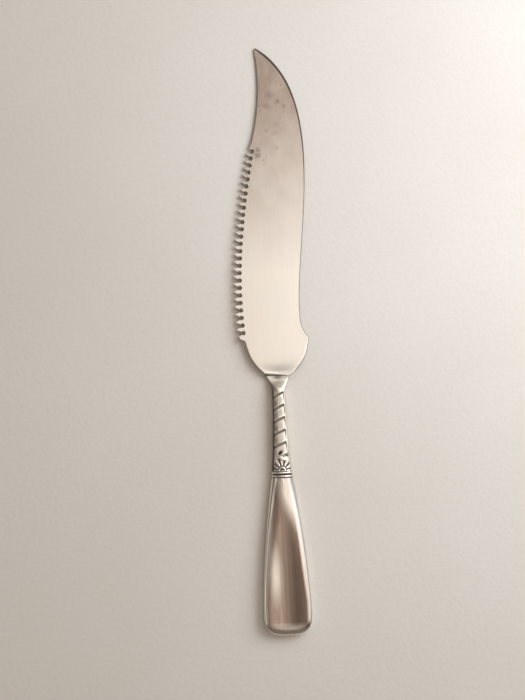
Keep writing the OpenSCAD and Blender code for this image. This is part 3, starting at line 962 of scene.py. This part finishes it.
def palmette(x, y):
    """Height of the palmette's relief above its ground, as a share."""
    p = Vector((x, y))
    base = Vector((0, COLLAR_Y + FOOT_LENGTH))
    height = dome(((p - base).length - ARCH_RADIUS) / ARCH_WIRE) if y > base[1] else 0.0
    reach = PETAL_REACH_SHARE * (TWIST_Y - base[1])
    for k in range(PETAL_COUNT):
        angle = PETAL_FAN_ANGLE * (k / (PETAL_COUNT - 1) - 0.5)
        ray = Vector((math.sin(angle), math.cos(angle)))
        length = reach * mix(SIDE_PETAL_SHARE, 1, abs(math.cos(angle)))
        away, share = near_segment(p, base + ray * (ARCH_RADIUS + PETAL_GAP), base + ray * length)
        across = away / (PETAL_WIDTH / 2 * mix(PETAL_FOOT_SHARE, 1, share))
        groove = PETAL_GROOVE * bell(across / PETAL_GROOVE_SHARE) * ease(share * 2)
        height = max(height, dome(across) * (1 - groove))
    return max(height, eased((p - base).length, BORDER_SHARE * reach, BORDER_SPAN))


def collar_ring(y):
    """A section of the collar, with the palmette on its front and its back."""
    half = neck_half(y)
    ring = []
    for i in range(AROUND):
        angle = 2 * math.pi * i / AROUND
        front = i <= AROUND // 2
        t = math.cos(angle)
        plain = eased(abs(t), *COLLAR_SIDE_STEP)
        plain = max(plain, ease((COLLAR_Y + FOOT_LENGTH - y) / FOOT_SPAN + 0.5))
        shape = max(palmette(half * t, y), plain)
        shape *= 1 - pit(half * t, y)
        height = (neck_rise(y) - PALMETTE_RELIEF * (1 - shape)) * swell(t, NECK_SQUARE)
        rise = height if front else -height
        # Painted shade down the left flank, and oxide in the palmette's ground
        oxide_and_shade = max(left_flank(t, front), GROUND_OXIDE * (1 - shape) ** GROUND_OXIDE_POWER)
        ring.append((half * t, y, SEAM_HEIGHT + rise, oxide_and_shade))
    return ring


def plug_ring(at_y):
    inset = SHELL_WALL + SEAT_GAP
    return section(
        at_y,
        SEAM_HEIGHT,
        handle_half(TAIL_Y, inset),
        handle_up(TAIL_Y, inset),
        handle_down(TAIL_Y, inset),
        NECK_SQUARE,
    )


def make_collar():
    top = TWIST_Y - SEAT_GAP
    seat = [neck_ring(y, -RING_SEAT) for y in (TAIL_Y, COLLAR_Y)]
    darkened = [[(x, y, z, 1.0) for x, y, z, _ in ring] for ring in seat]
    rings = [plug_ring(TAIL_Y - PLUG_LENGTH), plug_ring(TAIL_Y), *darkened]
    rings += [collar_ring(mix(COLLAR_Y, top, k / COLLAR_ROWS)) for k in range(COLLAR_ROWS + 1)]
    rings += [tang_ring(y, SEAT_GAP) for y in (top, TAIL_Y - PLUG_LENGTH)]
    points, faces = loft(rings, "joined")
    add_piece("palmette_ferrule", points, faces, stem_silver, "palmette_collar", "stem_silver", 50)


def make_ring(name, node, place_share):
    """Half-round wire bent round the seat in the collar."""
    middle = mix(TAIL_Y, COLLAR_Y, place_share)
    bore = SEAT_GAP - RING_SEAT
    rings = []
    for k in range(RING_POINTS + 1):
        angle = math.pi * (1 - k / RING_POINTS)
        edge = RING_EDGE_OXIDE * bell(min(k, RING_POINTS - k) / RING_EDGE_POINTS)
        rise = mix(bore, RING_PROUD, math.sin(angle))
        ring = neck_ring(middle + RING_WIDTH / 2 * math.cos(angle), rise)
        rings.append([(x, y, z, edge) for x, y, z, _ in ring])
    add_piece(name, *loft(rings, "joined"), stem_silver, node, "stem_silver", 60)


# Handle


def butt_taper(y, inset, reach, power, flat_share):
    s = max(0.0, (reach - y) / (reach - inset))
    return max(0.0, 1 - (1 - flat_share**power) * s**power) ** (1 / power)


def handle_share(y):
    return min(1.0, (TAIL_Y - y) / (TAIL_Y - BUTT_CORNER))


def handle_half(y, inset):
    width = mix(NECK_WIDTH, HANDLE_WIDTH, 1 - (1 - handle_share(y)) ** PLAN_POWER)
    return (width / 2 - inset) * butt_taper(y, inset, BUTT_CORNER, CORNER_POWER, BUTT_FLAT_SHARE)


def handle_up(y, inset, t=0.0):
    rise = mix(NECK_THICKNESS / 2, BUTT_RISE, 1 - (1 - handle_share(y)) ** RISE_POWER)
    rolled = y * (1 - ROLL_CURVE * t * t * ease(1 - y / BUTT_CORNER))
    return (rise - inset) * butt_taper(max(inset, rolled), inset, BUTT_ROLL, ROLL_POWER, 0)


def handle_down(y, inset):
    drop = mix(NECK_THICKNESS / 2, SEAM_HEIGHT + BACK_CROWN, min(1, handle_share(y) / BACK_FLAT_SHARE))
    return (drop - inset) * butt_taper(y, inset, BUTT_ROLL, ROLL_POWER, 0)


def handle_dish(y, t):
    grow = ease((handle_share(y) - DISH_START_SHARE) / (DISH_FULL_SHARE - DISH_START_SHARE))
    width_share = mix(DISH_TOP_WIDTH_SHARE, DISH_WIDTH_SHARE, grow)
    across = max(0.0, 1 - (t / width_share) ** 2) ** 2
    return DISH_DEPTH * grow**DISH_POWER * across * butt_taper(y, 0, BUTT_ROLL, ROLL_POWER, 0)


def shell_arc(share, inset, side):
    """A bowed stretch of one side of the handle, from one seam to the other, at a share of its length."""
    y = mix(TAIL_Y, inset, math.cos(math.pi / 2 * share))
    half = handle_half(y, inset)
    square = mix(NECK_SQUARE, BUTT_SQUARE, ease(handle_share(y)))
    arc = []
    for i in range(SHELL_AROUND + 1):
        t = side * math.cos(math.pi * i / SHELL_AROUND)
        if side > 0:
            dish = handle_dish(y, t) if inset == 0 else 0
            z = SEAM_HEIGHT + SEAT_GAP + handle_up(y, inset, t) * swell(t, square) - dish
        else:
            z = max(0.0, SEAM_HEIGHT - handle_down(y, inset) * swell(t, square))
        arc.append((half * t, y, z, 0.0))
    return arc


def make_shell(name, node, side):
    rings = []
    for k in range(SHELL_ROWS + 1):
        share = k / SHELL_ROWS
        rings.append(shell_arc(share, 0, side) + shell_arc(share, SHELL_WALL, side)[::-1])
    add_piece(name, *loft(rings, "strips"), handle_silver, node, "handle_silver")


outline_x = [p[0] for p in blade_outline()[0]]
MID_X = (min(outline_x) + max(outline_x)) / 2
MID_Y = (HEEL_Y + BLADE_LENGTH * math.cos(math.asin(HEEL_HEIGHT / BLADE_LENGTH))) / 2

blade_silver = silver(
    "worn_satin_blade",
    colour=(0.9, 0.855, 0.785),
    rough=(0.4, 0.52),
    streak_scale=(1600, 40, 300),
    streak_tint=(0.88, 0.83, 0.755),
    darkening=blade_shade_and_stains,
)
stem_silver = silver(
    "oxidised_stem",
    colour=(0.94, 0.9, 0.82),
    rough=(0.34, 0.46),
    streak_scale=(700, 60, 200),
    streak_tint=(0.87, 0.8, 0.69),
)
handle_silver = silver(
    "rubbed_handle",
    colour=(0.91, 0.88, 0.83),
    rough=(0.305, 0.325),
    streak_scale=(1300, 16, 200),
    streak_tint=(0.83, 0.77, 0.71),
    darkening=handle_painted_shade,
    dulling=0.03,
)

make_blade()
make_shank()
make_collar()
make_ring("wire_ring_upper", "upper_ring", 3 / 4)
make_ring("wire_ring_lower", "lower_ring", 1 / 4)
make_shell("handle_front", "handle_front_shell", 1)
make_shell("handle_back", "handle_back_shell", -1)
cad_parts["handle_filling"].data.materials.clear()
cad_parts["handle_filling"].data.materials.append(pitch_cement())

# Stage


def make_floor():
    reach = 8.0
    mesh = bpy.data.meshes.new("paper")
    corners = [(-reach, -reach, 0), (reach, -reach, 0), (reach, reach, 0), (-reach, reach, 0)]
    mesh.from_pydata(corners, [], [(0, 1, 2, 3)])
    mesh.materials.append(pale_paper())
    floor = bpy.data.objects.new("paper", mesh)
    bpy.context.scene.collection.objects.link(floor)


def add_lamp(name, place, aim, size, watts, colour):
    """A soft rectangular lamp. Size is across and then along its upright side, in metres."""
    lamp = bpy.data.lights.new(name, "AREA")
    lamp.shape = "RECTANGLE"
    lamp.size, lamp.size_y = size
    lamp.energy = watts
    lamp.color = colour
    lit = bpy.data.objects.new(name, lamp)
    lit.location = place
    lit.rotation_euler = (Vector(aim) - Vector(place)).to_track_quat("-Z", "Y").to_euler()
    lit.visible_camera = False
    bpy.context.scene.collection.objects.link(lit)


def make_room():
    """A warm brown room, deepest overhead and pale at the upper right of the picture."""
    pale_side = Vector((0.6, 0.7, 0.35))
    dark_brown = (0.1, 0.07, 0.054)
    deep_brown = (0.072, 0.045, 0.034)
    pale = (0.4, 0.38, 0.35)
    world = bpy.data.worlds.new("room")
    world.use_nodes = True
    tree = world.node_tree
    tree.nodes.clear()
    ray = add_node(tree, "TexCoord").outputs["Generated"]
    toward = add_node(tree, "VectorMath", operation="DOT_PRODUCT")
    tree.links.new(ray, toward.inputs[0])
    toward.inputs[1].default_value = pale_side.normalized()
    facing = toward.outputs["Value"]
    shade = blended(tree, ranged(tree, facing, -0.7, 0.15), dark_brown, deep_brown)
    shade = blended(tree, ranged(tree, facing, 0.35, 0.95), shade, pale)
    background = add_node(tree, "Background", {"Color": shade, "Strength": 1.0})
    output = add_node(tree, "OutputWorld")
    tree.links.new(background.outputs["Background"], output.inputs["Surface"])
    bpy.context.scene.world = world


def make_camera():
    """Straight above, over the middle of the picture, with the knife leaning 2.4 degrees in it."""
    middle_x, middle_y = -6.48, 126.25
    lean = math.radians(-2.376)
    picture_height = 0.3094
    blade_level = 0.0025
    centre = MM * Vector((middle_x - MID_X, middle_y - MID_Y))
    camera = bpy.data.cameras.new("overhead")
    camera.lens = 85.0
    camera.sensor_width = 36.0
    seen = bpy.data.objects.new("overhead", camera)
    away = picture_height * camera.lens / camera.sensor_width
    seen.location = (centre[0], centre[1], away + blade_level)
    seen.rotation_euler = (0, 0, lean)
    bpy.context.scene.collection.objects.link(seen)
    bpy.context.scene.camera = seen


make_floor()
make_room()
make_camera()
add_lamp("upper_window", (0.29, 0.15, 0.28), (0, 0.05, 0), (0.3, 0.3), 1.72, (0.87, 0.925, 1.0))
add_lamp("side_window", (0.62, -0.12, 0.45), (0, -0.05, 0), (0.7, 0.4), 0.12, (1.0, 0.98, 0.95))
add_lamp("blade_card", (0.17, 0.02, 0.95), (0, 0.05, 0), (0.3, 0.3), 0.92, (1.0, 0.9, 0.79))
add_lamp("far_card", (0.1, 0.7, 0.55), (0, 0.05, 0), (0.5, 0.3), 0.5, (1.0, 0.93, 0.82))
add_lamp("strand_card", (-0.1, 0.52, 0.85), (0, 0.0, 0), (0.3, 0.2), 0.3, (1.0, 0.93, 0.82))
add_lamp("handle_card", (0.6, -0.2, 0.85), (0, -0.1, 0), (0.35, 0.5), 0.5, (1.0, 0.97, 0.92))
add_lamp("left_card", (-0.31, -0.22, 1.0), (0, -0.1, 0), (0.4, 0.35), 0.13, (1.0, 0.88, 0.78))
add_lamp("left_wall", (-0.75, -0.27, 0.7), (0, -0.1, 0), (0.6, 0.22), 0.64, (1.0, 0.95, 0.88))
add_lamp("near_card", (0.05, -0.55, 0.8), (0, -0.1, 0), (0.5, 0.14), 0.28, (1.0, 0.92, 0.82))
add_lamp("low_card", (0.0, -0.75, 0.35), (0, -0.12, 0), (0.8, 0.4), 0.1, (1.0, 0.88, 0.75))
add_lamp("ceiling_lamp", (0.1, -0.25, 1.0), (0, -0.1, 0), (0.03, 0.035), 0.16, (1.0, 0.9, 0.78))

bpy.context.scene.view_settings.view_transform = "Standard"
